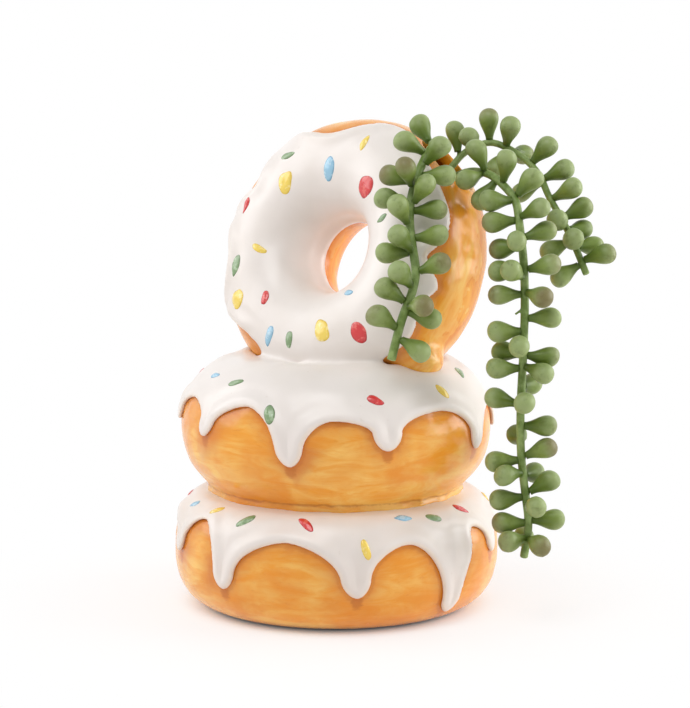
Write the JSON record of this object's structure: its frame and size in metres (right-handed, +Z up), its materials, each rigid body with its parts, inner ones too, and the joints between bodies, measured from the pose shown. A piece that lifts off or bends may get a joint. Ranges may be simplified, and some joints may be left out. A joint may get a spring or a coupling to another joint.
{
  "type": "donut vase with trailing leaves",
  "caption": "Ceramic vase of stacked donuts with dripping icing and raised sprinkles, a leaning ring with a mouth in its rim, and trailing plastic leaf strands that lift out.",
  "frame": {"origin": "centre of the foot, on the surface that the vase stands on", "axes": "+Z up, -Y out of the iced face of the upright donut, +X towards the side with the mouth"},
  "size_m": [0.165, 0.1326, 0.1968],
  "materials": {
    "orange_glaze": "brushed colour under a gloss glaze",
    "white_glaze": "thick gloss glaze",
    "red_glaze": "gloss",
    "yellow_glaze": "gloss",
    "green_glaze": "gloss",
    "blue_glaze": "gloss",
    "stem_plastic": "satin",
    "leaf_plastic": "satin"
  },
  "bodies": {
    "vase": {"lower_donut": "orange_glaze", "middle_donut": "orange_glaze", "upper_donut": "orange_glaze", "lower_icing": "white_glaze", "middle_icing": "white_glaze", "upper_icing": "white_glaze", "lower_red_sprinkles": "red_glaze", "middle_red_sprinkles": "red_glaze", "upper_red_sprinkles": "red_glaze", "lower_yellow_sprinkles": "yellow_glaze", "middle_yellow_sprinkles": "yellow_glaze", "upper_yellow_sprinkles": "yellow_glaze", "lower_green_sprinkles": "green_glaze", "middle_green_sprinkles": "green_glaze", "upper_green_sprinkles": "green_glaze", "lower_blue_sprinkles": "blue_glaze", "middle_blue_sprinkles": "blue_glaze", "upper_blue_sprinkles": "blue_glaze"},
    "front_strand": {"front_stem": "stem_plastic", "front_leaves": "leaf_plastic"},
    "long_strand": {"long_stem": "stem_plastic", "long_leaves": "leaf_plastic"},
    "short_strand": {"short_stem": "stem_plastic", "short_leaves": "leaf_plastic"}
  },
  "joints": [
    {"name": "front_lift", "type": "slide", "parent": "vase", "child": "front_strand", "axis": [0.6691, 0.2346, 0.7052], "range_m": [0, 0.045]},
    {"name": "long_lift", "type": "slide", "parent": "vase", "child": "long_strand", "axis": [0.6691, 0.2346, 0.7052], "range_m": [0, 0.045]},
    {"name": "short_lift", "type": "slide", "parent": "vase", "child": "short_strand", "axis": [0.6691, 0.2346, 0.7052], "range_m": [0, 0.045]}
  ]
}
